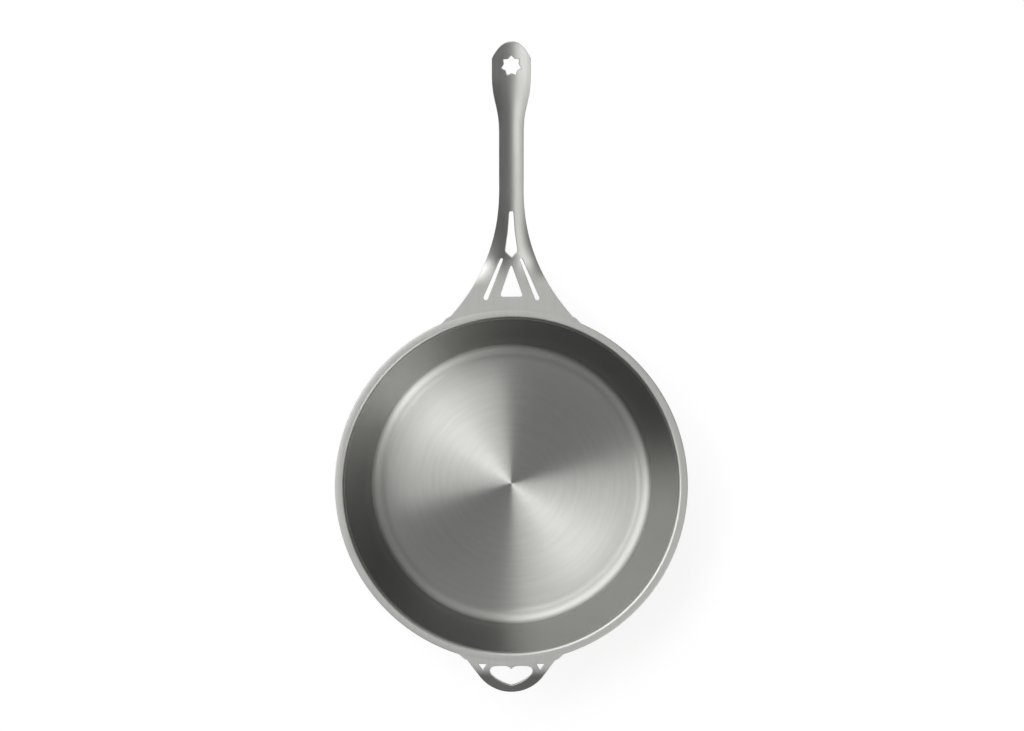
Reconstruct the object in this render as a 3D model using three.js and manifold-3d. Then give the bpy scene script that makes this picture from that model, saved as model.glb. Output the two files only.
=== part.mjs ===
// Deep saute pan: a vessel drawn from one steel sheet, with a flared wall and a flat rim.
// A long handle and a helper loop, each cut from sheet and formed, are butt-welded to the edge of the rim.
// The welds are ground flush on top, so rim and handles read as one surface from above.
// Millimetres, +Z up, +Y along the long handle. The origin is the centre of the flat underside.

import * as THREE from "three";
import { mergeVertices } from "three/addons/utils/BufferGeometryUtils.js";
import Module from "manifold-3d";

const wasm = await Module();
wasm.setup();

const degrees = THREE.MathUtils.degToRad;
const smooth = THREE.MathUtils.smoothstep;
const sameVertex = 1e-4;

// Vessel
const vesselSheet = 2.5; // thickness of floor, wall and rim
const panHeight = 78; // underside to rim top
const rimRadius = 150; // pan centre to the rim's outer edge
const rimFlat = 5.2; // width of the flat part of the rim
const rimBend = 1; // radius of the bend from wall to rim, on the underside
const rimChamfer = 0.4; // broken edge round the rim
const wallFlare = degrees(17); // wall's lean out from upright
const floorCorner = 16; // inner radius between floor and wall
const vesselFacets = 72;
const arcDivisions = 3;

// Welds
const weldWidth = 2; // rim edge to the root of a handle
const weldGap = 0.3; // clearance at each side of a weld
const weldBead = 0.7; // height of the bead underneath
const weldToe = 0.3; // width of a weld where it runs out
const weldRunOut = 7; // how far a weld runs on past each side of a root
const weldFacets = 28;
const weldBeadFacets = 4;

// Long handle in plan; lengths out are measured from the rim's edge
const handleSheet = 2.5;
const handleLength = 223.6; // rim edge to handle tip
const handleRootHalf = 53.3; // half the width at the weld
const flareAimHalf = 7.6; // the flare leaves the root towards this point
const flareAimOut = 43;
const flareEase = 24; // and eases into the grip over this length
const gripHalf = 10.1; // half the width of the grip
const gripLength = 37; // straight part of the grip
const widenLength = 47; // grip to paddle
const widenEase = 21; // length of each end of that S-curve
const paddleHalf = 16.2; // half the width of the paddle end
const paddleLength = 27.6; // full width of the paddle to the tip
const tipLength = 13.7; // length of the rounded tip
const tipPower = 2.3; // roundness of the tip
const handleColumns = 12;
const handleRows = 52;

// Long handle from the side and across
const riseOut = 16; // where the handle starts to rise
const riseBend = 89; // radius of the bend at the root
const riseSteep = degrees(18.5); // steepest climb
const riseTip = degrees(15.5); // climb at the tip
const curlOut = 18; // where the sides of the sheet start to curl down
const curlFullOut = 75; // where they have curled down fully
const curlRadius = 20; // radius across the grip
const paddleRadius = 45; // radius across the paddle

// Cut-outs of the long handle
const cutMargin = 3; // how far a cutter passes each face of a sheet
const cutFacets = 6; // segments of each curve in a cut-out
const starInset = 20; // tip to the centre of the hanging hole
const starPoints = 7;
const starOuter = 8.4;
const starInner = 6.1;
const keyholeTopOut = 82.8;
const keyholeWaistOut = 66;
const keyholeBaseOut = 49.2;
const keyholeTipOut = 44.1;
const keyholeTopHalf = 1.6;
const keyholeWaistHalf = 2.75;
const keyholeBaseHalf = 5.2;
const keyholeRound = 1.4;
const windowTopOut = 38.5; // triangular window at the root
const windowBaseOut = 10.7;
const windowBaseHalf = 9.8;
const windowRound = 3;
const slotTopOut = 42.3; // slanted slot at each side of the window
const slotTopX = 8.2;
const slotTopRadius = 1.1;
const slotBaseOut = 9.6;
const slotBaseX = 21.8;
const slotBaseRadius = 1.9;

// Helper loop in plan and from the side; lengths out are measured from the rim's edge
const helperSheet = 2.5;
const helperLength = 25.5; // rim edge to the loop's far edge
const helperRootHalf = 38.5; // half the width at the weld
const helperNoseRadius = 33.5; // round of the far edge
const helperNoseHalfAngle = degrees(54); // half the angle that the round covers
const helperDropOut = 2.2; // where the loop starts to turn down
const helperDropBend = 24; // radius of the turn
const helperDropAngle = degrees(24); // slope at the far edge
const helperColumns = 18;
const helperRows = 12;

// Cut-outs of the helper loop
const helperBand = 5.7; // width of the loop's far side
const heartCuspOut = 5.9;
const heartLobeOut = 3.1;
const heartLobeX = 8.8;
const heartSideOut = 7.6;
const heartSideHalf = 18;
const heartLobeEase = 3.4; // reach of the curves at the lobe's top, the side and the tip
const heartSideEase = 3.6;
const heartTipEase = 8.8;
const heartTipSlope = 0.24;
const notchNearX = 21.3; // small triangular hole at each side of the heart
const notchFarX = 28.1;
const notchTopOut = 1.5;
const notchTipX = 24.3;
const notchTipOut = 6.4;
const notchRound = 0.8;

const steel = { color: 0xb6b6b1, roughness: 0.34, metalness: 1 };
const groundSteel = { color: 0xb0b0ab, roughness: 0.4, metalness: 1 };

const weldInner = rimRadius + weldGap;
const weldOuter = rimRadius + weldWidth - weldGap;
const rootRadius = rimRadius + weldWidth;
const rimBendUpper = rimBend + vesselSheet;
const paddleOut = handleLength - paddleLength;
const widenOut = paddleOut - widenLength;
const gripOut = widenOut - gripLength;

function mesh(name, geometry, finish) {
  const piece = new THREE.Mesh(geometry, new THREE.MeshStandardMaterial(finish));
  piece.name = name;
  return piece;
}

function solid(geometry) {
  geometry.deleteAttribute("normal");
  geometry.deleteAttribute("uv");
  const merged = mergeVertices(geometry, sameVertex);
  const vertProperties = Float32Array.from(merged.attributes.position.array);
  const triVerts = Uint32Array.from(merged.index.array);
  return new wasm.Manifold(new wasm.Mesh({ numProp: 3, vertProperties, triVerts }));
}

function geometryOf(body) {
  const cut = body.getMesh();
  const geometry = new THREE.BufferGeometry();
  geometry.setAttribute("position", new THREE.BufferAttribute(cut.vertProperties, 3));
  geometry.setIndex(new THREE.BufferAttribute(cut.triVerts, 1));
  geometry.computeVertexNormals();
  return geometry;
}

// Moves every vertex of a geometry to the point that place gives for it
function reshape(geometry, place) {
  const position = geometry.attributes.position;
  for (let i = 0; i < position.count; i += 1) {
    const [x, y, z] = place(position.getX(i), position.getY(i), position.getZ(i));
    position.setXYZ(i, x, y, z);
  }
  return geometry;
}

// A flat sheet between a root curve, a tip curve and two mirrored sides, with its middle at z = 0
function flatSheet(sheet, columns, rows, root, tip, side) {
  const start = side(0);
  const end = side(1);
  return reshape(new THREE.BoxGeometry(2, 1, sheet, columns, rows, 1), (u, height, z) => {
    const v = height + 0.5;
    const edge = side(v);
    const near = root(u);
    const far = tip(u);
    const x = u * edge.x + (1 - v) * (near.x - u * start.x) + v * (far.x - u * end.x);
    const y = edge.y + (1 - v) * (near.y - start.y) + v * (far.y - end.y);
    return [x, y, z];
  });
}

// Lays flat geometry on the surface height(x, y), keeping its thickness square to that surface
function form(geometry, height) {
  const step = 0.01;
  return reshape(geometry, (x, y, z) => {
    const slopeX = (height(x + step, y) - height(x - step, y)) / (2 * step);
    const slopeY = (height(x, y + step) - height(x, y - step)) / (2 * step);
    const length = Math.hypot(slopeX, slopeY, 1);
    return [x - (z * slopeX) / length, y - (z * slopeY) / length, height(x, y) + z / length];
  });
}

// A cutter through a sheet: the hole's outline, passing both faces
function cutter(outline, sheet) {
  const depth = sheet + 2 * cutMargin;
  const settings = { depth, bevelEnabled: false, curveSegments: cutFacets };
  return new THREE.ExtrudeGeometry(outline, settings).translate(0, 0, -depth / 2);
}

function formedSheet(blank, outlines, sheet, height) {
  let body = solid(form(blank, height));
  for (const outline of outlines) {
    body = body.subtract(solid(form(cutter(outline, sheet), height)));
  }
  return geometryOf(body);
}

// A closed outline through corners, each rounded by a short curve that starts and ends at reach from it
function roundedOutline(corners, reach) {
  const outline = new THREE.Shape();
  const points = corners.map(([x, y]) => new THREE.Vector2(x, y));
  points.forEach((corner, i) => {
    const before = points.at(i - 1);
    const after = points[(i + 1) % points.length];
    const enter = corner.clone().add(before.clone().sub(corner).setLength(reach));
    const leave = corner.clone().add(after.clone().sub(corner).setLength(reach));
    if (i === 0) {
      outline.moveTo(enter.x, enter.y);
    } else {
      outline.lineTo(enter.x, enter.y);
    }
    outline.quadraticCurveTo(corner.x, corner.y, leave.x, leave.y);
  });
  outline.closePath();
  return outline;
}

// A straight slot with round ends of two sizes
function taperedSlot(x1, y1, radius1, x2, y2, radius2) {
  const outline = new THREE.Shape();
  const along = Math.atan2(y2 - y1, x2 - x1);
  const square = Math.PI / 2;
  outline.absarc(x2, y2, radius2, along - square, along + square, false);
  outline.absarc(x1, y1, radius1, along + square, along + 3 * square, false);
  outline.closePath();
  return outline;
}

function onCircle(radius, x) {
  return new THREE.Vector2(x, Math.sqrt(radius * radius - x * x));
}

function vessel() {
  const bendR = rimRadius - rimFlat;
  const bendZ = panHeight - rimBendUpper;
  const wallTopR = bendR - rimBendUpper * Math.cos(wallFlare);
  const wallTopZ = bendZ + rimBendUpper * Math.sin(wallFlare);
  const cornerZ = vesselSheet + floorCorner;
  const wallFootZ = cornerZ - floorCorner * Math.sin(wallFlare);
  const wallFootR = wallTopR - (wallTopZ - wallFootZ) * Math.tan(wallFlare);
  const cornerR = wallFootR - floorCorner * Math.cos(wallFlare);
  const square = Math.PI / 2;

  const profile = new THREE.Path();
  profile.moveTo(0, 0);
  profile.lineTo(cornerR, 0);
  profile.absarc(cornerR, cornerZ, floorCorner + vesselSheet, -square, -wallFlare, false);
  profile.absarc(bendR, bendZ, rimBend, Math.PI - wallFlare, square, true);
  profile.lineTo(rimRadius - rimChamfer, panHeight - vesselSheet);
  profile.lineTo(rimRadius, panHeight - vesselSheet + rimChamfer);
  profile.lineTo(rimRadius, panHeight - rimChamfer);
  profile.lineTo(rimRadius - rimChamfer, panHeight);
  profile.lineTo(bendR, panHeight);
  profile.absarc(bendR, bendZ, rimBendUpper, square, Math.PI - wallFlare, false);
  profile.absarc(cornerR, cornerZ, floorCorner, -wallFlare, -square, true);
  profile.lineTo(0, vesselSheet);

  const turned = new THREE.LatheGeometry(profile.getPoints(arcDivisions), vesselFacets);
  const piece = mesh("vessel", turned, steel);
  piece.rotation.x = square;
  return piece;
}

// Height of the long handle's middle line above its root
function handleRise(out) {
  const bendEnd = riseOut + riseBend * Math.sin(riseSteep);
  const along = Math.max(out - riseOut, 0);
  if (out < bendEnd) {
    return riseBend - Math.sqrt(riseBend * riseBend - along * along);
  }
  const arch = (handleLength - bendEnd) / (Math.sin(riseSteep) - Math.sin(riseTip));
  const crest = bendEnd + arch * Math.sin(riseSteep);
  const start = riseBend * (1 - Math.cos(riseSteep)) - arch * Math.cos(riseSteep);
  return start + Math.sqrt(arch * arch - (crest - out) * (crest - out));
}

function handleHeight(x, y) {
  const out = y - rimRadius;
  const curl = smooth(out, curlOut, curlFullOut) / curlRadius;
  const open = smooth(out, widenOut, paddleOut);
  const curve = curl + open * (1 / paddleRadius - 1 / curlRadius);
  return panHeight - handleSheet / 2 + handleRise(out) - (curve * x * x) / 2;
}

function handleCutOuts() {
  const star = new THREE.Shape();
  for (let i = 0; i < 2 * starPoints; i += 1) {
    const radius = i % 2 === 0 ? starOuter : starInner;
    const turn = (Math.PI * i) / starPoints;
    const x = -radius * Math.sin(turn);
    const y = rimRadius + handleLength - starInset + radius * Math.cos(turn);
    if (i === 0) {
      star.moveTo(x, y);
    } else {
      star.lineTo(x, y);
    }
  }
  star.closePath();

  const keyhole = roundedOutline(
    [
      [0, rimRadius + keyholeTipOut],
      [keyholeBaseHalf, rimRadius + keyholeBaseOut],
      [keyholeWaistHalf, rimRadius + keyholeWaistOut],
      [keyholeTopHalf, rimRadius + keyholeTopOut],
      [-keyholeTopHalf, rimRadius + keyholeTopOut],
      [-keyholeWaistHalf, rimRadius + keyholeWaistOut],
      [-keyholeBaseHalf, rimRadius + keyholeBaseOut],
    ],
    keyholeRound
  );

  const window = roundedOutline(
    [
      [0, rimRadius + windowTopOut],
      [-windowBaseHalf, rimRadius + windowBaseOut],
      [windowBaseHalf, rimRadius + windowBaseOut],
    ],
    windowRound
  );

  const slots = [-1, 1].map((hand) =>
    taperedSlot(
      hand * slotTopX,
      rimRadius + slotTopOut,
      slotTopRadius,
      hand * slotBaseX,
      rimRadius + slotBaseOut,
      slotBaseRadius
    )
  );
  return [star, keyhole, window, ...slots];
}

function longHandle() {
  const root = onCircle(rootRadius, handleRootHalf);
  const shoulderOut = handleLength - tipLength;
  const sideCurve = new THREE.Path();
  sideCurve.moveTo(root.x, root.y);
  sideCurve.bezierCurveTo(
    flareAimHalf,
    rimRadius + flareAimOut,
    gripHalf,
    rimRadius + gripOut - flareEase,
    gripHalf,
    rimRadius + gripOut
  );
  sideCurve.lineTo(gripHalf, rimRadius + widenOut);
  sideCurve.bezierCurveTo(
    gripHalf,
    rimRadius + widenOut + widenEase,
    paddleHalf,
    rimRadius + paddleOut - widenEase,
    paddleHalf,
    rimRadius + paddleOut
  );
  sideCurve.lineTo(paddleHalf, rimRadius + shoulderOut);

  const tip = (u) => {
    const rise = tipLength * (1 - Math.abs(u) ** tipPower);
    return new THREE.Vector2(u * paddleHalf, rimRadius + shoulderOut + rise);
  };
  const rootArc = (u) => onCircle(rootRadius, u * handleRootHalf);
  const side = (v) => sideCurve.getPoint(v);
  const blank = flatSheet(handleSheet, handleColumns, handleRows, rootArc, tip, side);
  return mesh("long_handle", formedSheet(blank, handleCutOuts(), handleSheet, handleHeight), steel);
}

// How far the helper loop has turned down
function helperDrop(out) {
  const bendLength = helperDropBend * Math.sin(helperDropAngle);
  const along = Math.max(out - helperDropOut, 0);
  const bent = Math.min(along, bendLength);
  const turn = helperDropBend - Math.sqrt(helperDropBend * helperDropBend - bent * bent);
  return turn + (along - bent) * Math.tan(helperDropAngle);
}

function helperHeight(x, y) {
  return panHeight - helperSheet / 2 - helperDrop(y - rimRadius);
}

function helperCutOuts() {
  const cusp = rimRadius + heartCuspOut;
  const lobeTop = rimRadius + heartLobeOut;
  const side = rimRadius + heartSideOut;
  const tip = rimRadius + helperLength - helperBand;
  const half = [
    [0, cusp],
    [heartLobeX - 2 * heartLobeEase, lobeTop],
    [heartLobeX - heartLobeEase, lobeTop],
    [heartLobeX, lobeTop],
    [heartLobeX + 2 * heartLobeEase, lobeTop],
    [heartSideHalf, side - heartSideEase],
    [heartSideHalf, side],
    [heartSideHalf, side + heartSideEase],
    [heartTipEase, tip - heartTipEase * heartTipSlope],
    [0, tip],
  ];
  const mirrored = half.map(([x, y]) => [-x, y]).reverse();
  const heart = new THREE.Shape();
  heart.moveTo(0, cusp);
  for (const points of [half, mirrored]) {
    for (let i = 1; i < points.length; i += 3) {
      heart.bezierCurveTo(...points[i], ...points[i + 1], ...points[i + 2]);
    }
  }

  const notches = [-1, 1].map((hand) =>
    roundedOutline(
      [
        [hand * notchNearX, rimRadius + notchTopOut],
        [hand * notchFarX, rimRadius + notchTopOut],
        [hand * notchTipX, rimRadius + notchTipOut],
      ],
      notchRound
    )
  );
  return [heart, ...notches];
}

function helperHandle() {
  const noseCentre = rimRadius + helperLength - helperNoseRadius;
  const root = onCircle(rootRadius, helperRootHalf);
  const nose = (u) => {
    const turn = u * helperNoseHalfAngle;
    const x = helperNoseRadius * Math.sin(turn);
    return new THREE.Vector2(x, noseCentre + helperNoseRadius * Math.cos(turn));
  };
  const rootArc = (u) => onCircle(rootRadius, u * helperRootHalf);
  const side = (v) => root.clone().lerp(nose(1), v);
  const blank = flatSheet(helperSheet, helperColumns, helperRows, rootArc, nose, side);
  return mesh("helper_handle", formedSheet(blank, helperCutOuts(), helperSheet, helperHeight), steel);
}

// A butt weld between the rim's edge and a handle's root, flush on top, with a bead underneath.
// Past the handle's root its ends run out along the rim.
function weld(name, rootHalf, sheet) {
  const rootTurn = Math.asin(rootHalf / rootRadius);
  const endTurn = Math.asin((rootHalf + weldRunOut) / rimRadius);
  const geometry = new THREE.BoxGeometry(2, 2, 1, weldFacets, weldBeadFacets, 1);
  reshape(geometry, (u, v, side) => {
    const turn = u * endTurn;
    const runOut = 1 - smooth(Math.abs(turn), rootTurn, endTurn);
    const outer = weldInner + weldToe + (weldOuter - weldInner - weldToe) * runOut;
    const radius = THREE.MathUtils.lerp(weldInner, outer, (v + 1) / 2);
    const bead = weldBead * (1 - v * v) * runOut;
    const z = side > 0 ? panHeight : panHeight - sheet - bead;
    return [radius * Math.sin(turn), radius * Math.cos(turn), z];
  });
  return mesh(name, geometry, groundSteel);
}

const pan = new THREE.Group();
pan.add(vessel());
pan.add(longHandle());
pan.add(weld("handle_weld", handleRootHalf, handleSheet));

// The helper faces away from the long handle
const helperSide = new THREE.Group();
helperSide.rotation.z = Math.PI;
helperSide.add(helperHandle());
helperSide.add(weld("helper_weld", helperRootHalf, helperSheet));
pan.add(helperSide);

export default pan;
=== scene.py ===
"""Deep saute pan: models the visual pieces of the pan round its packed frame, and sets its stage.

Metres, +Z up, +Y along the long handle. The origin is the centre of the flat underside.
"""

import math

import bpy
from bpy.props import FloatProperty, FloatVectorProperty, IntProperty, PointerProperty
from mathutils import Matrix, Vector


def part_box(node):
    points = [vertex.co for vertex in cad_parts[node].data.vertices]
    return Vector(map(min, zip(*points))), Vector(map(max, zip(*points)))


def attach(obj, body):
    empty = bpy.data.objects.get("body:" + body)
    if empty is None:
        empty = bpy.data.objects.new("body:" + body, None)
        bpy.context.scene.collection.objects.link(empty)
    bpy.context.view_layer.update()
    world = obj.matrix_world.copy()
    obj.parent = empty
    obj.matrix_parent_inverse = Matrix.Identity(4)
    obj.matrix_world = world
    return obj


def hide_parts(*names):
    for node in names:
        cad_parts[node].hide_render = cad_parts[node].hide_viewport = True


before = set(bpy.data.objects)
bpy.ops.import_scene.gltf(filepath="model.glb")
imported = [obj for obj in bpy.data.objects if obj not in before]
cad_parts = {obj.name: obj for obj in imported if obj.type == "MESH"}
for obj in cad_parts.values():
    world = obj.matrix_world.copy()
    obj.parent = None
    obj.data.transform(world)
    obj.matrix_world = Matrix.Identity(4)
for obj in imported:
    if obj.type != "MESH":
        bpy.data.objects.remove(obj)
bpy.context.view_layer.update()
_, vessel_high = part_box("vessel")

bl_info = {
    "name": "Deep saute pan",
    "version": (1, 0, 0),
    "blender": (4, 5, 0),
    "location": "3D View > Sidebar > Saute pan",
    "description": "Models a deep saute pan from sheet steel pieces and sets a plain stage for it",
    "category": "Add Mesh",
}

MM = 0.001
QUARTER = math.pi / 2
SAME_POINT = 0.002 * MM


class VesselSizes(bpy.types.PropertyGroup):
    """Sizes of the drawn vessel."""

    rim_radius: FloatProperty(
        name="Rim radius",
        description="Pan centre to the rim's outer edge",
        default=vessel_high.x,
        unit="LENGTH",
    )
    height: FloatProperty(
        name="Height",
        description="Underside to the top of the rim",
        default=vessel_high.z,
        unit="LENGTH",
    )
    sheet: FloatProperty(
        name="Sheet",
        description="Thickness of floor, wall and rim",
        default=2.5 * MM,
        unit="LENGTH",
    )
    rim_flat: FloatProperty(
        name="Rim flat",
        description="Width of the flat part of the rim",
        default=5.2 * MM,
        unit="LENGTH",
    )
    rim_bend: FloatProperty(
        name="Rim bend",
        description="Radius of the bend from wall to rim, on the underside",
        default=1 * MM,
        unit="LENGTH",
    )
    edge_round: FloatProperty(
        name="Edge round",
        description="Radius of the broken edge round the rim",
        default=0.5 * MM,
        unit="LENGTH",
    )
    floor_corner: FloatProperty(
        name="Floor corner",
        description="Inner radius between floor and wall",
        default=16 * MM,
        unit="LENGTH",
    )
    wall_flare: FloatProperty(
        name="Wall flare",
        description="The wall's lean out from upright",
        default=math.radians(17),
        unit="ROTATION",
    )
    turn_steps: IntProperty(
        name="Turn steps",
        description="Facets round the pan",
        default=256,
        min=24,
    )


class HandleSizes(bpy.types.PropertyGroup):
    """Sizes of the long handle. Lengths out are measured from the rim's edge."""

    sheet: FloatProperty(
        name="Sheet",
        description="Thickness of the handle's sheet",
        default=2.5 * MM,
        unit="LENGTH",
    )
    edge_round: FloatProperty(
        name="Edge round",
        description="Radius of the sheet's broken edges",
        default=0.45 * MM,
        unit="LENGTH",
    )
    length: FloatProperty(
        name="Length",
        description="Rim edge to handle tip",
        default=223.6 * MM,
        unit="LENGTH",
    )
    root_half: FloatProperty(
        name="Root half width",
        description="Half the width at the weld",
        default=53.3 * MM,
        unit="LENGTH",
    )
    grip_half: FloatProperty(
        name="Grip half width",
        description="Half the width of the grip",
        default=10.1 * MM,
        unit="LENGTH",
    )
    grip_length: FloatProperty(
        name="Grip length",
        description="Straight part of the grip",
        default=37 * MM,
        unit="LENGTH",
    )
    widen_length: FloatProperty(
        name="Widening length",
        description="Grip to paddle end",
        default=47 * MM,
        unit="LENGTH",
    )
    paddle_half: FloatProperty(
        name="Paddle half width",
        description="Half the width of the paddle end",
        default=16.2 * MM,
        unit="LENGTH",
    )
    paddle_length: FloatProperty(
        name="Paddle length",
        description="Full width of the paddle end to the tip",
        default=27.6 * MM,
        unit="LENGTH",
    )
    rise_steep: FloatProperty(
        name="Steepest climb",
        description="Slope of the handle past the bend at its root",
        default=math.radians(18.5),
        unit="ROTATION",
    )
    rise_tip: FloatProperty(
        name="Climb at the tip",
        description="Slope of the handle at its tip",
        default=math.radians(15.5),
        unit="ROTATION",
    )
    curl_radius: FloatProperty(
        name="Curl radius",
        description="Radius across the grip",
        default=20 * MM,
        unit="LENGTH",
    )
    paddle_radius: FloatProperty(
        name="Paddle radius",
        description="Radius across the paddle end",
        default=45 * MM,
        unit="LENGTH",
    )


class HelperSizes(bpy.types.PropertyGroup):
    """Sizes of the helper loop. Lengths out are measured from the rim's edge."""

    sheet: FloatProperty(
        name="Sheet",
        description="Thickness of the loop's sheet",
        default=2.5 * MM,
        unit="LENGTH",
    )
    edge_round: FloatProperty(
        name="Edge round",
        description="Radius of the sheet's broken edges",
        default=0.45 * MM,
        unit="LENGTH",
    )
    length: FloatProperty(
        name="Length",
        description="Rim edge to the loop's far edge",
        default=25.5 * MM,
        unit="LENGTH",
    )
    root_half: FloatProperty(
        name="Root half width",
        description="Half the width at the weld",
        default=38.5 * MM,
        unit="LENGTH",
    )
    nose_radius: FloatProperty(
        name="Nose radius",
        description="Round of the far edge",
        default=33.5 * MM,
        unit="LENGTH",
    )
    band: FloatProperty(
        name="Band",
        description="Width of the loop's far side",
        default=5.7 * MM,
        unit="LENGTH",
    )
    drop_angle: FloatProperty(
        name="Drop angle",
        description="Slope at the far edge",
        default=math.radians(24),
        unit="ROTATION",
    )


class WeldSizes(bpy.types.PropertyGroup):
    """Sizes of the two butt welds."""

    width: FloatProperty(
        name="Width",
        description="Rim edge to the root of a handle",
        default=2 * MM,
        unit="LENGTH",
    )
    bead: FloatProperty(
        name="Bead",
        description="Height of the bead underneath",
        default=0.7 * MM,
        unit="LENGTH",
    )
    run_out: FloatProperty(
        name="Run-out",
        description="How far a weld runs on past each side of a root",
        default=7 * MM,
        unit="LENGTH",
    )


class SteelFinish(bpy.types.PropertyGroup):
    """Colours and brightness of the steel and the stage."""

    turned_colour: FloatVectorProperty(
        name="Turned steel",
        description="Colour of the vessel's turned faces",
        default=(0.58, 0.58, 0.56),
        subtype="COLOR",
        size=3,
    )
    satin_colour: FloatVectorProperty(
        name="Satin steel",
        description="Colour of the rim and the handles",
        default=(0.58, 0.58, 0.557),
        subtype="COLOR",
        size=3,
    )
    weld_colour: FloatVectorProperty(
        name="Weld steel",
        description="Colour of the ground welds",
        default=(0.57, 0.57, 0.547),
        subtype="COLOR",
        size=3,
    )
    floor_colour: FloatVectorProperty(
        name="Floor",
        description="Colour of the stage's floor",
        default=(0.3, 0.3, 0.3),
        subtype="COLOR",
        size=3,
    )


class PanSettings(bpy.types.PropertyGroup):
    """All settings of the pan."""

    vessel: PointerProperty(type=VesselSizes)
    handle: PointerProperty(type=HandleSizes)
    helper: PointerProperty(type=HelperSizes)
    weld: PointerProperty(type=WeldSizes)
    finish: PointerProperty(type=SteelFinish)


# Plain geometry


def smoothstep(value, low, high):
    part = min(max((value - low) / (high - low), 0), 1)
    return part * part * (3 - 2 * part)


def spaced(low, high, count):
    """Count numbers from low to high, both included."""
    return [low + (high - low) * i / (count - 1) for i in range(count)]


def arc(centre, radius, start, end, steps):
    return [
        (centre[0] + radius * math.cos(turn), centre[1] + radius * math.sin(turn))
        for turn in spaced(start, end, steps + 1)
    ]


def bezier(points, steps):
    """Points of a Bezier curve after its first one."""
    made = []
    for part in spaced(0, 1, steps + 1)[1:]:
        level = [Vector(p) for p in points]
        while len(level) > 1:
            level = [a.lerp(b, part) for a, b in zip(level, level[1:])]
        made.append(tuple(level[0]))
    return made


def rounded_outline(corners, reach, steps=6):
    """A closed outline with each corner rounded by a short curve, which starts at reach from it."""
    outline = []
    points = [Vector(c) for c in corners]
    for i, corner in enumerate(points):
        before = points[i - 1]
        after = points[(i + 1) % len(points)]
        enter = corner + (before - corner).normalized() * reach
        leave = corner + (after - corner).normalized() * reach
        outline.append(tuple(enter))
        outline.extend(bezier([enter, corner, leave], steps))
    return outline


def tapered_slot(near, near_radius, far, far_radius, steps=8):
    """A straight slot with round ends of two sizes."""
    along = math.atan2(far[1] - near[1], far[0] - near[0])
    far_end = arc(far, far_radius, along - QUARTER, along + QUARTER, steps)
    near_end = arc(near, near_radius, along + QUARTER, along + 3 * QUARTER, steps)
    return far_end + near_end


def area_sign(outline):
    total = 0
    for (x1, y1), (x2, y2) in zip(outline, outline[1:] + outline[:1]):
        total += x1 * y2 - x2 * y1
    return total


# Work on the selected piece


def select_only(piece):
    bpy.ops.object.select_all(action="DESELECT")
    piece.select_set(True)
    bpy.context.view_layer.objects.active = piece


def edit_all():
    bpy.ops.object.mode_set(mode="EDIT")
    bpy.ops.mesh.select_all(action="SELECT")


def leave_edit():
    bpy.ops.object.mode_set(mode="OBJECT")


def profile_line(name, points):
    """A line of vertices in XZ, extruded point by point from a plane merged to one vertex."""
    bpy.ops.object.select_all(action="DESELECT")
    bpy.ops.mesh.primitive_plane_add(size=1 * MM)
    piece = bpy.context.active_object
    piece.name = name
    piece.data.name = name
    edit_all()
    bpy.ops.mesh.merge(type="CENTER")
    start = (points[0][0], 0, points[0][1])
    bpy.ops.transform.translate(value=start)
    for (r1, z1), (r2, z2) in zip(points, points[1:]):
        step = {"value": (r2 - r1, 0, z2 - z1)}
        bpy.ops.mesh.extrude_region_move(TRANSFORM_OT_translate=step)
    leave_edit()
    return piece


def close_shell(piece):
    """Merges doubled vertices and turns all faces outwards."""
    select_only(piece)
    edit_all()
    bpy.ops.mesh.remove_doubles(threshold=SAME_POINT)
    bpy.ops.mesh.select_all(action="SELECT")
    bpy.ops.mesh.normals_make_consistent(inside=False)
    leave_edit()


def cut_sheet(name, outline, holes, sheet, edge_round):
    """A flat sheet with holes and rounded edges, cut as a filled curve and made a mesh."""
    curve = bpy.data.curves.new(name, "CURVE")
    curve.dimensions = "2D"
    curve.fill_mode = "BOTH"
    curve.extrude = sheet / 2 - edge_round
    curve.bevel_depth = edge_round
    curve.bevel_resolution = 2
    curve.offset = -edge_round
    for hand, line in [(1, outline)] + [(-1, hole) for hole in holes]:
        points = line if area_sign(line) * hand > 0 else line[::-1]
        spline = curve.splines.new("POLY")
        spline.points.add(len(points) - 1)
        for place, (x, y) in zip(spline.points, points):
            place.co = (x, y, 0, 1)
        spline.use_cyclic_u = True
    piece = bpy.data.objects.new(name, curve)
    bpy.context.collection.objects.link(piece)
    select_only(piece)
    bpy.ops.object.convert(target="MESH")
    piece = bpy.context.active_object
    piece.name = name
    piece.data.name = name
    close_shell(piece)
    return piece


def cut_strips(piece, normal, places):
    """Bisects the whole piece square to the normal, at each place along it."""
    select_only(piece)
    edit_all()
    for place in places:
        bpy.ops.mesh.select_all(action="SELECT")
        bpy.ops.mesh.bisect(plane_co=Vector(normal) * place, plane_no=normal)
    bpy.ops.mesh.select_all(action="SELECT")
    bpy.ops.mesh.remove_doubles(threshold=SAME_POINT)
    leave_edit()


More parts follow.
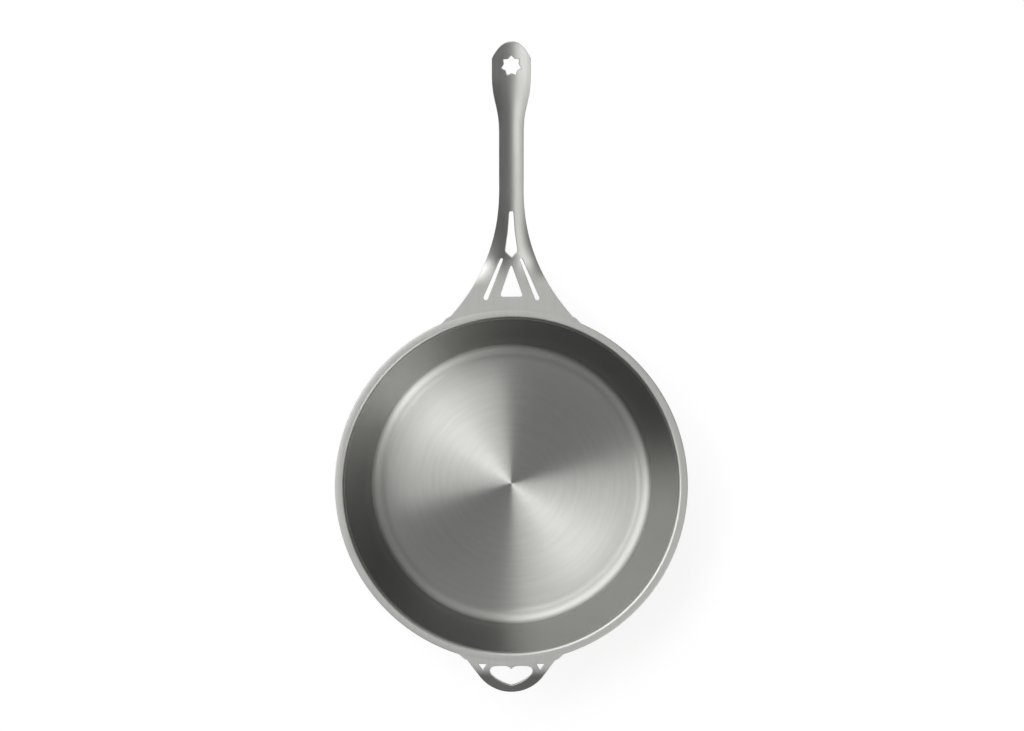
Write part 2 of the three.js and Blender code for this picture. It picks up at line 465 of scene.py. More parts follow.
def press(piece, sheet, height):
    """Forms a flat sheet onto the surface height(x, y), thickness and normals square to it."""
    step = 0.01 * MM
    face = sheet / 2 - SAME_POINT
    mesh = piece.data
    edges = []
    normals = []
    # All normals are taken first, because moving a vertex changes those of its neighbours.
    flats = [vertex.normal.copy() for vertex in mesh.vertices]
    for vertex, flat in zip(mesh.vertices, flats):
        x, y, t = vertex.co
        edges.append(0 if abs(t) > face else 1)
        if abs(t) > face:
            flat = Vector((0, 0, math.copysign(1, t)))
        slope_x = (height(x + step, y) - height(x - step, y)) / (2 * step)
        slope_y = (height(x, y + step) - height(x, y - step)) / (2 * step)
        up = Vector((-slope_x, -slope_y, 1)).normalized()
        across = Vector((1, 0, slope_x)).normalized()
        along = up.cross(across)
        vertex.co = Vector((x, y, height(x, y))) + t * up
        normals.append(flat.x * across + flat.y * along + flat.z * up)
    select_only(piece)
    bpy.ops.object.shade_smooth()
    mesh.normals_split_custom_set_from_vertices(normals)
    polish = mesh.attributes.new("broken_edge", "FLOAT", "POINT")
    polish.data.foreach_set("value", edges)


def turn_round(piece):
    """Turns a piece half a turn about the pan's axis, and keeps the turn in its mesh."""
    select_only(piece)
    piece.rotation_euler.z = math.pi
    bpy.ops.object.transform_apply(location=True, rotation=True, scale=True)


def finish_piece(piece, materials, node):
    """Gives a piece its materials and puts it in the place of its CAD node."""
    piece.data.materials.clear()
    for material in materials:
        piece.data.materials.append(material)
    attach(piece, "root")
    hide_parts(node)


# Finishes


class Nodes:
    """Adds nodes to a tree and links them."""

    def __init__(self, tree):
        self.tree = tree

    def add(self, kind, values=None, **settings):
        node = self.tree.nodes.new(kind)
        for key, value in settings.items():
            setattr(node, key, value)
        for key, value in (values or {}).items():
            if isinstance(value, bpy.types.NodeSocket):
                self.tree.links.new(value, node.inputs[key])
            else:
                node.inputs[key].default_value = value
        return node

    def math(self, operation, first, second=0.0):
        node = self.add("ShaderNodeMath", {0: first, 1: second}, operation=operation)
        return node.outputs[0]

    def vector(self, operation, first, second=(0.0, 0.0, 0.0)):
        node = self.add("ShaderNodeVectorMath", {0: first, 1: second}, operation=operation)
        return node.outputs[0]

    def spread(self, value, low, high):
        """Maps a value of 0 to 1 onto low to high."""
        values = {"Value": value, "To Min": low, "To Max": high}
        return self.add("ShaderNodeMapRange", values).outputs["Result"]

    def ease(self, value, low, high, start=0.0, end=1.0):
        """Goes smoothly from start to end as the value goes from low to high."""
        values = {"Value": value, "From Min": low, "From Max": high, "To Min": start, "To Max": end}
        node = self.add("ShaderNodeMapRange", values, interpolation_type="SMOOTHSTEP")
        return node.outputs["Result"]

    def noise(self, vector, scale, detail=2.0, roughness=0.5):
        values = {"Vector": vector, "Scale": scale, "Detail": detail, "Roughness": roughness}
        return self.add("ShaderNodeTexNoise", values).outputs["Fac"]


def new_group(name, inputs, outputs):
    tree = bpy.data.node_groups.new(name, "ShaderNodeTree")
    for label, kind, default in inputs:
        socket = tree.interface.new_socket(name=label, in_out="INPUT", socket_type=kind)
        if default is not None:
            socket.default_value = default
    for label, kind in outputs:
        tree.interface.new_socket(name=label, in_out="OUTPUT", socket_type=kind)
    nodes = Nodes(tree)
    entry = nodes.add("NodeGroupInput")
    leave = nodes.add("NodeGroupOutput")
    return nodes, entry, leave


def brushed_grain():
    """Fine lines and broad streaks of a brushed face. X is across the lines, Y and Z along."""
    name = "Brushed grain"
    if name in bpy.data.node_groups:
        return bpy.data.node_groups[name]
    nodes, entry, leave = new_group(
        name,
        [
            ("Vector", "NodeSocketVector", None),
            ("Lines", "NodeSocketFloat", 2200.0),
            ("Streaks", "NodeSocketFloat", 260.0),
            ("Run", "NodeSocketFloat", 0.02),
        ],
        [("Lines", "NodeSocketFloat"), ("Streaks", "NodeSocketFloat")],
    )
    parts = nodes.add("ShaderNodeSeparateXYZ", {0: entry.outputs["Vector"]})
    for label, detail in (("Lines", 3.0), ("Streaks", 4.0)):
        run = nodes.math("MULTIPLY", entry.outputs[label], entry.outputs["Run"])
        across = nodes.math("MULTIPLY", parts.outputs["X"], entry.outputs[label])
        along = nodes.math("MULTIPLY", parts.outputs["Y"], run)
        deep = nodes.math("MULTIPLY", parts.outputs["Z"], run)
        place = nodes.add("ShaderNodeCombineXYZ", {"X": across, "Y": along, "Z": deep})
        value = nodes.noise(place.outputs[0], 1.0, detail)
        nodes.tree.links.new(value, leave.inputs[label])
    return nodes.tree


def handling_marks():
    """Soft patches where the steel has been wiped and held, from 0 to 1."""
    name = "Handling marks"
    if name in bpy.data.node_groups:
        return bpy.data.node_groups[name]
    nodes, entry, leave = new_group(
        name,
        [("Vector", "NodeSocketVector", None), ("Scale", "NodeSocketFloat", 18.0)],
        [("Marks", "NodeSocketFloat")],
    )
    patches = nodes.noise(entry.outputs["Vector"], entry.outputs["Scale"], 3.0, 0.55)
    nodes.tree.links.new(nodes.ease(patches, 0.4, 0.7), leave.inputs["Marks"])
    return nodes.tree


def shaded(nodes, colour, amount):
    """A plain colour made lighter or darker by an amount round 1."""
    node = nodes.add("ShaderNodeMix", data_type="RGBA", blend_type="MULTIPLY")
    node.inputs["Factor"].default_value = 1.0
    node.inputs["A"].default_value = (*colour, 1.0)
    grey = nodes.add("ShaderNodeCombineColor", {"Red": amount, "Green": amount, "Blue": amount})
    nodes.tree.links.new(grey.outputs[0], node.inputs["B"])
    return node.outputs["Result"]


def new_steel(name):
    material = bpy.data.materials.new(name)
    material.use_nodes = True
    material.node_tree.nodes.clear()
    nodes = Nodes(material.node_tree)
    steel = nodes.add("ShaderNodeBsdfPrincipled", {"Metallic": 1.0})
    out = nodes.add("ShaderNodeOutputMaterial")
    nodes.tree.links.new(steel.outputs[0], out.inputs["Surface"])
    return material, nodes, steel


# Painted highlight on the corner, painted shade on the inner wall, and roughness of the vessel's
# turned faces
CORNER_PAINTED_HIGHLIGHT = 1.65
WALL_PAINTED_SHADE = 0.38
FLOOR_ROUGHNESS = 0.34
WALL_ROUGHNESS = 0.24
CORNER_DULLING = 0.2


def turned_steel(finish):
    """Steel brushed in rings on a turning fixture: floor, corner, wall and outside. The corner's
    colour is made lighter as a painted highlight, and the inner wall's darker as painted shade.
    """
    name = "Turned steel"
    if name in bpy.data.materials:
        return bpy.data.materials[name]
    material, nodes, steel = new_steel(name)
    texture = nodes.add("ShaderNodeTexCoord")
    place = texture.outputs["Object"]
    flat = nodes.vector("MULTIPLY", place, (1.0, 1.0, 0.0))
    radius = nodes.add("ShaderNodeVectorMath", {0: flat}, operation="LENGTH").outputs["Value"]
    height = nodes.add("ShaderNodeSeparateXYZ", {0: place}).outputs["Z"]
    outward = nodes.vector("NORMALIZE", flat)
    round_it = nodes.add("ShaderNodeSeparateXYZ", {0: outward})
    # 0 on the floor, through the corner to -0.96 on the inner wall
    lean = nodes.add(
        "ShaderNodeVectorMath", {0: texture.outputs["Normal"], 1: outward}, operation="DOT_PRODUCT"
    ).outputs["Value"]
    # Painted highlight: the colour is made lighter through the corner between floor and wall
    corner = nodes.ease(lean, -0.08, -0.5, 1.0, CORNER_PAINTED_HIGHLIGHT)
    # Painted shade: the colour is made darker on the inner wall
    wall = nodes.ease(lean, -0.56, -0.95, 1.0, WALL_PAINTED_SHADE)
    across = nodes.math("ADD", radius, height)
    rings = nodes.add("ShaderNodeCombineXYZ", {"X": across})
    for source, target in (("X", "Y"), ("Y", "Z")):
        run = nodes.math("MULTIPLY", round_it.outputs[source], 0.1)
        nodes.tree.links.new(run, rings.inputs[target])
    grain = nodes.add("ShaderNodeGroup", node_tree=brushed_grain())
    nodes.tree.links.new(rings.outputs[0], grain.inputs["Vector"])
    grain.inputs["Lines"].default_value = 2400.0
    grain.inputs["Streaks"].default_value = 320.0
    grain.inputs["Run"].default_value = 0.06
    marks = nodes.add("ShaderNodeGroup", node_tree=handling_marks())
    nodes.tree.links.new(place, marks.inputs["Vector"])
    marks.inputs["Scale"].default_value = 14.0
    streaks = nodes.spread(grain.outputs["Streaks"], 0.9, 1.1)
    wiped = nodes.spread(marks.outputs["Marks"], 1.0, 0.97)
    tone = nodes.math("MULTIPLY", streaks, wiped)
    # The painted highlight on the corner and the painted shade on the inner wall go into the
    # colour's tone here
    for part in (corner, wall):
        tone = nodes.math("MULTIPLY", tone, part)
    colour = shaded(nodes, finish.turned_colour, tone)
    plain = nodes.ease(height, 2.6 * MM, 6 * MM, FLOOR_ROUGHNESS, WALL_ROUGHNESS)
    dulling = nodes.ease(lean, -0.1, -0.4, 0.0, CORNER_DULLING)
    below_wall = nodes.ease(lean, -0.6, -0.9, 1.0, 0.0)
    dull = nodes.math("ADD", plain, nodes.math("MULTIPLY", dulling, below_wall))
    rough = nodes.math("ADD", dull, nodes.spread(grain.outputs["Streaks"], -0.03, 0.03))
    bump = nodes.add(
        "ShaderNodeBump",
        {"Height": grain.outputs["Lines"], "Strength": 0.06, "Distance": 0.1 * MM},
    )
    nodes.tree.links.new(colour, steel.inputs["Base Color"])
    nodes.tree.links.new(rough, steel.inputs["Roughness"])
    nodes.tree.links.new(bump.outputs[0], steel.inputs["Normal"])
    steel.inputs["Anisotropic"].default_value = 1.0
    steel.inputs["Anisotropic Rotation"].default_value = 0.25
    return material


def satin_steel(name, colour, lines, roughness, edge):
    """Fine satin steel with a faint grain along the handle, a little brighter on broken edges."""
    if name in bpy.data.materials:
        return bpy.data.materials[name]
    material, nodes, steel = new_steel(name)
    place = nodes.add("ShaderNodeTexCoord").outputs["Object"]
    grain = nodes.add("ShaderNodeGroup", node_tree=brushed_grain())
    nodes.tree.links.new(place, grain.inputs["Vector"])
    grain.inputs["Lines"].default_value = lines
    grain.inputs["Streaks"].default_value = 420.0
    grain.inputs["Run"].default_value = 0.05
    marks = nodes.add("ShaderNodeGroup", node_tree=handling_marks())
    nodes.tree.links.new(place, marks.inputs["Vector"])
    marks.inputs["Scale"].default_value = 26.0
    worn = nodes.add("ShaderNodeAttribute", attribute_name="broken_edge").outputs["Fac"]
    streaks = nodes.spread(grain.outputs["Streaks"], 0.94, 1.06)
    bright = nodes.spread(worn, 1.0, edge)
    tone = nodes.math("MULTIPLY", streaks, bright)
    rough = nodes.math(
        "ADD",
        nodes.spread(grain.outputs["Lines"], roughness - 0.04, roughness + 0.04),
        nodes.spread(marks.outputs["Marks"], 0.0, 0.03),
    )
    polished = nodes.math("SUBTRACT", rough, nodes.math("MULTIPLY", worn, 0.08))
    bump = nodes.add(
        "ShaderNodeBump",
        {"Height": grain.outputs["Lines"], "Strength": 0.05, "Distance": 0.1 * MM},
    )
    nodes.tree.links.new(shaded(nodes, colour, tone), steel.inputs["Base Color"])
    nodes.tree.links.new(polished, steel.inputs["Roughness"])
    nodes.tree.links.new(bump.outputs[0], steel.inputs["Normal"])
    return material


def rim_and_handle_steel(finish):
    return satin_steel("Satin steel", finish.satin_colour, lines=1800.0, roughness=0.38, edge=1.08)


def ground_weld_steel(finish):
    return satin_steel("Ground weld", finish.weld_colour, lines=1500.0, roughness=0.4, edge=1.0)


# Vessel


def vessel_profile(sizes):
    """Half the vessel's section: out along the base, up the outside, and back along the floor."""
    bend_upper = sizes.rim_bend + sizes.sheet
    bend = (sizes.rim_radius - sizes.rim_flat, sizes.height - bend_upper)
    flare = sizes.wall_flare
    wall_top = (bend[0] - bend_upper * math.cos(flare), bend[1] + bend_upper * math.sin(flare))
    corner_z = sizes.sheet + sizes.floor_corner
    foot_z = corner_z - sizes.floor_corner * math.sin(flare)
    foot_r = wall_top[0] - (wall_top[1] - foot_z) * math.tan(flare)
    corner = (foot_r - sizes.floor_corner * math.cos(flare), corner_z)
    under = sizes.height - sizes.sheet
    edge = sizes.edge_round
    ease = 1.5 * MM

    def wall(low, high):
        """Points up a wall, close to its two ends and evenly between."""
        length = math.hypot(high[0] - low[0], high[1] - low[1])
        parts = [ease / length, 0.2, 0.4, 0.6, 0.8, 1 - ease / length]
        return [
            (low[0] + (high[0] - low[0]) * part, low[1] + (high[1] - low[1]) * part)
            for part in parts
        ]

    outer_corner = arc(corner, sizes.floor_corner + sizes.sheet, -QUARTER, -flare, 12)
    under_bend = arc(bend, sizes.rim_bend, math.pi - flare, QUARTER, 5)
    lower_edge = arc((sizes.rim_radius - edge, under + edge), edge, -QUARTER, 0, 4)
    upper_edge = arc((sizes.rim_radius - edge, sizes.height - edge), edge, 0, QUARTER, 4)
    upper_bend = arc(bend, bend_upper, QUARTER, math.pi - flare, 10)
    inner_corner = arc(corner, sizes.floor_corner, -flare, -QUARTER, 20)
    rings = [part * corner[0] for part in (0.02, 0.1, 0.25, 0.45, 0.65, 0.85)]
    rings.append(corner[0] - ease)
    base = [(0, 0)] + [(r, 0) for r in rings]
    floor = [(r, sizes.sheet) for r in reversed(rings)] + [(0, sizes.sheet)]
    return (
        base
        + outer_corner
        + wall(outer_corner[-1], under_bend[0])
        + under_bend
        + lower_edge
        + upper_edge
        + upper_bend
        + list(reversed(wall(inner_corner[0], upper_bend[-1])))
        + inner_corner
        + floor
    )


class PAN_OT_vessel(bpy.types.Operator):
    """Turns the vessel from its section"""

    bl_idname = "saute_pan.vessel"
    bl_label = "Vessel"

    def execute(self, context):
        pan = context.scene.saute_pan
        sizes = pan.vessel
        piece = profile_line("pan_vessel", vessel_profile(sizes))
        edit_all()
        bpy.ops.mesh.spin(
            steps=sizes.turn_steps, angle=2 * math.pi, center=(0, 0, 0), axis=(0, 0, 1)
        )
        leave_edit()
        close_shell(piece)
        bpy.ops.object.shade_smooth_by_angle(angle=math.radians(40))
        steels = [turned_steel(pan.finish), rim_and_handle_steel(pan.finish)]
        finish_piece(piece, steels, "vessel")
        bend_upper = sizes.rim_bend + sizes.sheet
        rim_start = sizes.rim_radius - sizes.rim_flat - bend_upper * math.cos(sizes.wall_flare)
        for face in piece.data.polygons:
            out = math.hypot(face.center.x, face.center.y)
            if out > rim_start and face.center.z > sizes.height - bend_upper:
                face.material_index = 1
        return {"FINISHED"}


# Long handle


def handle_outline(sizes, rim_radius, root_radius):
    """The long handle in plan: its root from left to right, its right side, tip and left side."""
    paddle_out = sizes.length - sizes.paddle_length
    widen_out = paddle_out - sizes.widen_length
    grip_out = widen_out - sizes.grip_length
    tip_length = 13.7 * MM
    tip_power = 2.3
    flare_aim = (7.6 * MM, rim_radius + 43 * MM)
    flare_ease = 24 * MM
    widen_ease = 21 * MM
    root_turn = math.asin(sizes.root_half / root_radius)
    root = arc((0, 0), root_radius, QUARTER + root_turn, QUARTER - root_turn, 36)
    grip = sizes.grip_half
    paddle = sizes.paddle_half
    side = bezier(
        [
            root[-1],
            flare_aim,
            (grip, rim_radius + grip_out - flare_ease),
            (grip, rim_radius + grip_out),
        ],
        40,
    )
    side.append((grip, rim_radius + widen_out))
    side += bezier(
        [
            (grip, rim_radius + widen_out),
            (grip, rim_radius + widen_out + widen_ease),
            (paddle, rim_radius + paddle_out - widen_ease),
            (paddle, rim_radius + paddle_out),
        ],
        20,
    )
    shoulder = rim_radius + sizes.length - tip_length
    tip = []
    for u in spaced(1, 0, 15):
        tip.append((u * paddle, shoulder + tip_length * (1 - u**tip_power)))
    right = side + tip
    left = [(-x, y) for x, y in reversed(right[:-1])]
    return root + right + left


def handle_holes(sizes, rim_radius):
    """Hanging hole, keyhole, window and slanted slots of the long handle."""
    star_centre = rim_radius + sizes.length - 20 * MM
    star_points = 7
    star_tip = 8.4 * MM
    star_notch = 6.1 * MM
    star = []
    for i in range(2 * star_points):
        radius = star_tip if i % 2 == 0 else star_notch
        turn = math.pi * i / star_points
        star.append((-radius * math.sin(turn), star_centre + radius * math.cos(turn)))
    # Corners in millimetres from the middle line and out from the rim's edge
    keyhole_right = [(5.2, 49.2), (2.75, 66), (1.6, 82.8)]
    keyhole_left = [(-x, out) for x, out in reversed(keyhole_right)]
    keyhole = [(0, 44.1)] + keyhole_right + keyhole_left
    window = [(0, 38.5), (-9.8, 10.7), (9.8, 10.7)]

    def placed(corners):
        return [(x * MM, rim_radius + out * MM) for x, out in corners]

    holes = [
        star,
        rounded_outline(placed(keyhole), 1.4 * MM),
        rounded_outline(placed(window), 3 * MM),
    ]
    for hand in (-1, 1):
        near, far = placed([(hand * 8.2, 42.3), (hand * 21.8, 9.6)])
        holes.append(tapered_slot(near, 1.1 * MM, far, 1.9 * MM))
    return holes


def handle_height(sizes, rim_radius, rim_height):
    """The handle's middle surface: a bend at the root, a long climb, and sides that curl down."""
    rise_out = 16 * MM
    rise_bend = 89 * MM
    curl_out = 18 * MM
    curl_full = 75 * MM
    paddle_out = sizes.length - sizes.paddle_length
    widen_out = paddle_out - sizes.widen_length
    steep = sizes.rise_steep
    bend_end = rise_out + rise_bend * math.sin(steep)
    arch = (sizes.length - bend_end) / (math.sin(steep) - math.sin(sizes.rise_tip))
    crest = bend_end + arch * math.sin(steep)
    start = rise_bend * (1 - math.cos(steep)) - arch * math.cos(steep)
    middle = rim_height - sizes.sheet / 2

    def rise(out):
        along = max(out - rise_out, 0)
        if out < bend_end:
            return rise_bend - math.sqrt(rise_bend**2 - along**2)
        return start + math.sqrt(arch**2 - (crest - out) ** 2)

    def height(x, y):
        out = y - rim_radius
        curl = smoothstep(out, curl_out, curl_full) / sizes.curl_radius
        opened = smoothstep(out, widen_out, paddle_out)
        curve = curl + opened * (1 / sizes.paddle_radius - 1 / sizes.curl_radius)
        return middle + rise(out) - curve * x * x / 2

    return height


class PAN_OT_long_handle(bpy.types.Operator):
    """Cuts the long handle from sheet and presses it to shape"""

    bl_idname = "saute_pan.long_handle"
    bl_label = "Long handle"

    def execute(self, context):
        pan = context.scene.saute_pan
        sizes = pan.handle
        rim_radius = pan.vessel.rim_radius
        outline = handle_outline(sizes, rim_radius, rim_radius + pan.weld.width)
        holes = handle_holes(sizes, rim_radius)
        piece = cut_sheet("pan_long_handle", outline, holes, sizes.sheet, sizes.edge_round)
        strip = 2 * MM
        strips_across = 23
        root_dip = 6 * MM
        first = rim_radius - root_dip
        count = int((sizes.length + root_dip) / strip) + 1
        cut_strips(piece, (0, 1, 0), [first + strip * i for i in range(count)])
        across = spaced(-sizes.paddle_half, sizes.paddle_half, strips_across)
        cut_strips(piece, (1, 0, 0), across)
        close_shell(piece)
        press(piece, sizes.sheet, handle_height(sizes, rim_radius, pan.vessel.height))
        finish_piece(piece, [rim_and_handle_steel(pan.finish)], "long_handle")
        return {"FINISHED"}


# Helper loop


def helper_outline(sizes, rim_radius, root_radius):
    """The loop in plan: its root from left to right and the round of its far edge."""
    nose_half = math.radians(54)
    nose_centre = (0, rim_radius + sizes.length - sizes.nose_radius)
    root_turn = math.asin(sizes.root_half / root_radius)
    root = arc((0, 0), root_radius, QUARTER + root_turn, QUARTER - root_turn, 30)
    nose = arc(nose_centre, sizes.nose_radius, QUARTER - nose_half, QUARTER + nose_half, 48)
    return root + nose


def helper_holes(sizes, rim_radius):
    """The heart-shaped opening and the small triangle at each side of it."""
    tip = sizes.length / MM - sizes.band / MM
    # Bezier points of the heart's right half, in millimetres aside and out from the rim's edge
    half = [
        (0, 5.9),
        (2, 3.1),
        (5.4, 3.1),
        (8.8, 3.1),
        (15.6, 3.1),
        (18, 4),
        (18, 7.6),
        (18, 11.2),
        (8.8, tip - 2.1),
        (0, tip),
    ]
    mirrored = [(-x, out) for x, out in reversed(half)]
    heart = []
    for side in (half, mirrored):
        points = [(x * MM, rim_radius + out * MM) for x, out in side]
        for i in range(0, len(points) - 1, 3):
            heart += bezier(points[i : i + 4], 10)
    holes = [heart]
    for hand in (-1, 1):
        corners = [(hand * 21.3, 1.5), (hand * 28.1, 1.5), (hand * 24.3, 6.4)]
        placed = [(x * MM, rim_radius + out * MM) for x, out in corners]
        holes.append(rounded_outline(placed, 0.8 * MM))
    return holes


def helper_height(sizes, rim_radius, rim_height):
    """The surface of the loop's middle: level at the weld, then turned down."""
    drop_out = 2.2 * MM
    drop_bend = 24 * MM
    bend_length = drop_bend * math.sin(sizes.drop_angle)

    def height(x, y):
        along = max(y - rim_radius - drop_out, 0)
        bent = min(along, bend_length)
        turn = drop_bend - math.sqrt(drop_bend**2 - bent**2)
        drop = turn + (along - bent) * math.tan(sizes.drop_angle)
        return rim_height - sizes.sheet / 2 - drop

    return height


class PAN_OT_helper_handle(bpy.types.Operator):
    """Cuts the helper loop from sheet and presses it to shape"""

    bl_idname = "saute_pan.helper_handle"
    bl_label = "Helper loop"

    def execute(self, context):
        pan = context.scene.saute_pan
        sizes = pan.helper
        rim_radius = pan.vessel.rim_radius
        outline = helper_outline(sizes, rim_radius, rim_radius + pan.weld.width)
        holes = helper_holes(sizes, rim_radius)
        piece = cut_sheet("pan_helper_loop", outline, holes, sizes.sheet, sizes.edge_round)
        strip = 1 * MM
        cut_strips(piece, (0, 1, 0), [rim_radius + strip * i for i in range(-3, 26)])
        close_shell(piece)
        press(piece, sizes.sheet, helper_height(sizes, rim_radius, pan.vessel.height))
        turn_round(piece)
        finish_piece(piece, [rim_and_handle_steel(pan.finish)], "helper_handle")
        return {"FINISHED"}


# Welds


def weld_piece(name, pan, root_half, sheet):
    """A butt weld, ground flush on top and with a bead underneath, that runs out along the rim."""
    sizes = pan.weld
    weld_steps = 72
    bite = 0.8 * MM
    inner = pan.vessel.rim_radius - bite
    outer = pan.vessel.rim_radius + sizes.width + bite
    top = pan.vessel.height
    under = top - sheet
    crown = 0.02 * MM
    width = outer - inner
    section = [
        (inner + width * part, top + crown * (1 - (2 * part - 1) ** 8))
        for part in spaced(0, 1, 9)
    ]
    section += [
        (outer - width * part, under - sizes.bead * math.sin(math.pi * part) + 2 * crown)
        for part in spaced(0, 1, 13)
    ]
    root_turn = math.asin(root_half / (pan.vessel.rim_radius + sizes.width))
    end_turn = math.asin((root_half + sizes.run_out) / pan.vessel.rim_radius)
    piece = profile_line(name, section + section[:1])
    edit_all()
    bpy.ops.mesh.remove_doubles(threshold=SAME_POINT)
    bpy.ops.mesh.select_all(action="SELECT")
    start = QUARTER + end_turn
    bpy.ops.transform.rotate(value=-start, orient_axis="Z", center_override=(0, 0, 0))
    bpy.ops.mesh.spin(steps=weld_steps, angle=2 * end_turn, center=(0, 0, 0), axis=(0, 0, 1))
    bpy.ops.mesh.select_all(action="DESELECT")
    leave_edit()
    mesh = piece.data
    sunk = pan.vessel.rim_radius - 0.1 * MM
    for vertex in mesh.vertices:
        x, y, z = vertex.co
        turn = abs(math.atan2(x, y))
        radius = math.hypot(x, y)
        run_out = 1 - smoothstep(turn, root_turn, end_turn)
        part = (radius - inner) / width
        narrow = inner + part * (sunk - inner + (outer - sunk) * run_out)
        vertex.co.x = x * narrow / radius
        vertex.co.y = y * narrow / radius
        if z < under:
            vertex.co.z = under + (z - under) * run_out
    close_shell(piece)
    edit_all()
    bpy.ops.mesh.select_all(action="DESELECT")
    bpy.ops.mesh.select_non_manifold()
    bpy.ops.mesh.edge_face_add()
    leave_edit()
    close_shell(piece)
    bpy.ops.object.shade_smooth_by_angle(angle=math.radians(40))
    return piece


class PAN_OT_welds(bpy.types.Operator):
    """Lays the two butt welds between the rim and the handles"""

    bl_idname = "saute_pan.welds"
    bl_label = "Welds"

    def execute(self, context):
        pan = context.scene.saute_pan
        ground = ground_weld_steel(pan.finish)
        piece = weld_piece("pan_handle_weld", pan, pan.handle.root_half, pan.handle.sheet)
        finish_piece(piece, [ground], "handle_weld")
        piece = weld_piece("pan_helper_weld", pan, pan.helper.root_half, pan.helper.sheet)
        turn_round(piece)
        finish_piece(piece, [ground], "helper_weld")
        return {"FINISHED"}


# Stage

# Soft panels of the studio. Angles are in degrees: the two sides by compass angle from +X,
# how softly each side ends, and the lower and upper edge above the floor.
PANELS = (
    {"sides": (93.5, 195), "softness": (2, 6), "lift": (51, 70), "level": 4.1},
    {"sides": (88, 182), "softness": (3, 9), "lift": (9, 51), "level": 1.2},
    {"sides": (294, 338), "softness": (17, 22), "lift": (51, 70), "level": 4.0},
    {"sides": (306, 328), "softness": (16, 9), "lift": (18, 51), "level": 2.1},
    {"sides": (48, 101), "softness": (17, 20), "lift": (18, 40), "level": 0.75},
)
LIFT_SOFTNESS = math.radians(3)
TOP_LIGHT_FROM = math.radians(66)
TOP_LIGHT_FULL = math.radians(74)
TOP_LEVEL = 0.66
ROOM_LEVEL = 0.05
FLOOR_GLOW = 0.82
FLOOR_SIZE = 40
FLOOR_GAP = 0.4 * MM
CAMERA_LENS = 165.5
CAMERA_ASIDE = 0.00055
CAMERA_ALONG = 0.1021
CAMERA_ABOVE_RIM = 4


def floor_material(finish):
    """Pale floor that reads white, and keeps the pan's shadow."""
    material = bpy.data.materials.new("Stage floor")
    material.use_nodes = True
    material.node_tree.nodes.clear()
    nodes = Nodes(material.node_tree)
    colour = (*finish.floor_colour, 1.0)
    paint = nodes.add("ShaderNodeBsdfDiffuse", {"Color": colour})
    path = nodes.add("ShaderNodeLightPath")
    seen = nodes.math("MAXIMUM", path.outputs["Is Camera Ray"], path.outputs["Is Glossy Ray"])
    seen = nodes.math("MAXIMUM", seen, path.outputs["Is Transmission Ray"])
    glow = nodes.add("ShaderNodeEmission", {"Strength": nodes.math("MULTIPLY", seen, FLOOR_GLOW)})
    both = nodes.add("ShaderNodeAddShader", {0: paint.outputs[0], 1: glow.outputs[0]})
    out = nodes.add("ShaderNodeOutputMaterial")
    nodes.tree.links.new(both.outputs[0], out.inputs["Surface"])
    return material


def soft_panel(nodes, compass, lift, panel):
    """Brightness of one soft panel of the studio."""
    start, end = (math.radians(angle) for angle in panel["sides"])
    start_soft, end_soft = (math.radians(angle) for angle in panel["softness"])
    low, high = (math.radians(angle) for angle in panel["lift"])
    half = (end - start) / 2
    turn = nodes.add(
        "ShaderNodeMath",
        {0: nodes.math("SUBTRACT", compass, start + half), 1: math.pi, 2: -math.pi},
        operation="WRAP",
    ).outputs[0]
    glow = panel["level"]
    for edge in (
        nodes.ease(turn, -half - start_soft, -half + start_soft),
        nodes.ease(turn, half + end_soft, half - end_soft),
        nodes.ease(lift, low - LIFT_SOFTNESS, low + LIFT_SOFTNESS),
        nodes.ease(lift, high + LIFT_SOFTNESS, high - LIFT_SOFTNESS),
    ):
        glow = nodes.math("MULTIPLY", glow, edge)
    return glow


def studio_world():
    """A dim room with soft panels at the left, at the right and behind, and a top light."""
    world = bpy.data.worlds.new("Studio")
    world.use_nodes = True
    world.node_tree.nodes.clear()
    nodes = Nodes(world.node_tree)
    way = nodes.add("ShaderNodeTexCoord").outputs["Generated"]
    parts = nodes.add("ShaderNodeSeparateXYZ", {0: way})
    compass = nodes.math("ARCTAN2", parts.outputs["Y"], parts.outputs["X"])
    lift = nodes.math("ARCSINE", parts.outputs["Z"])
    light = nodes.ease(lift, TOP_LIGHT_FROM, TOP_LIGHT_FULL, ROOM_LEVEL, TOP_LEVEL)
    for panel in PANELS:
        light = nodes.math("ADD", light, soft_panel(nodes, compass, lift, panel))
    backing = nodes.add("ShaderNodeBackground", {"Strength": light})
    nodes.add("ShaderNodeOutputWorld", {"Surface": backing.outputs[0]})
    return world


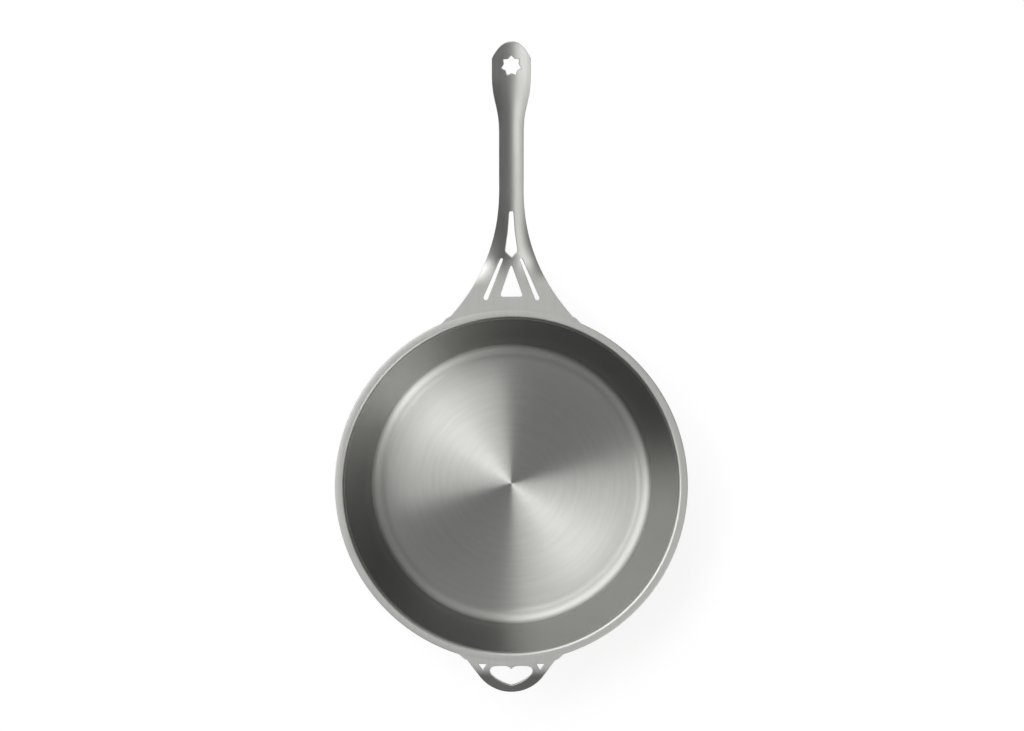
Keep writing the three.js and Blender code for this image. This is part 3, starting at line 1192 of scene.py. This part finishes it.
class PAN_OT_stage(bpy.types.Operator):
    """Sets the floor, the studio light and the camera"""

    bl_idname = "saute_pan.stage"
    bl_label = "Stage"

    def execute(self, context):
        scene = context.scene
        pan = scene.saute_pan
        bpy.ops.object.select_all(action="DESELECT")
        bpy.ops.mesh.primitive_plane_add(size=FLOOR_SIZE, location=(0, 0, -FLOOR_GAP))
        floor = context.active_object
        floor.name = "stage_floor"
        floor.data.materials.append(floor_material(pan.finish))
        bpy.ops.object.transform_apply(location=True, rotation=True, scale=True)

        scene.world = studio_world()

        data = bpy.data.cameras.new("Camera")
        data.sensor_width = 36
        data.lens = CAMERA_LENS
        data.clip_end = 100
        camera = bpy.data.objects.new("Camera", data)
        camera.location = (CAMERA_ASIDE, CAMERA_ALONG, pan.vessel.height + CAMERA_ABOVE_RIM)
        context.collection.objects.link(camera)
        scene.camera = camera
        scene.view_settings.view_transform = "Standard"
        return {"FINISHED"}


class PAN_PT_sidebar(bpy.types.Panel):
    """Pieces and sizes of the pan"""

    bl_idname = "PAN_PT_sidebar"
    bl_label = "Deep saute pan"
    bl_space_type = "VIEW_3D"
    bl_region_type = "UI"
    bl_category = "Saute pan"

    def draw(self, context):
        pan = context.scene.saute_pan
        for operator in OPERATORS:
            self.layout.operator(operator.bl_idname)
        for group in (pan.vessel, pan.handle, pan.helper, pan.weld, pan.finish):
            box = self.layout.box()
            box.label(text=group.__doc__)
            for key in group.__annotations__:
                box.prop(group, key)


OPERATORS = (
    PAN_OT_vessel,
    PAN_OT_long_handle,
    PAN_OT_helper_handle,
    PAN_OT_welds,
    PAN_OT_stage,
)
CLASSES = (
    VesselSizes,
    HandleSizes,
    HelperSizes,
    WeldSizes,
    SteelFinish,
    PanSettings,
    *OPERATORS,
    PAN_PT_sidebar,
)


def register():
    for each in CLASSES:
        bpy.utils.register_class(each)
    bpy.types.Scene.saute_pan = PointerProperty(type=PanSettings)


def unregister():
    del bpy.types.Scene.saute_pan
    for each in reversed(CLASSES):
        bpy.utils.unregister_class(each)


def main():
    register()
    bpy.ops.saute_pan.vessel()
    bpy.ops.saute_pan.long_handle()
    bpy.ops.saute_pan.helper_handle()
    bpy.ops.saute_pan.welds()
    bpy.ops.saute_pan.stage()


if __name__ == "__main__":
    main()
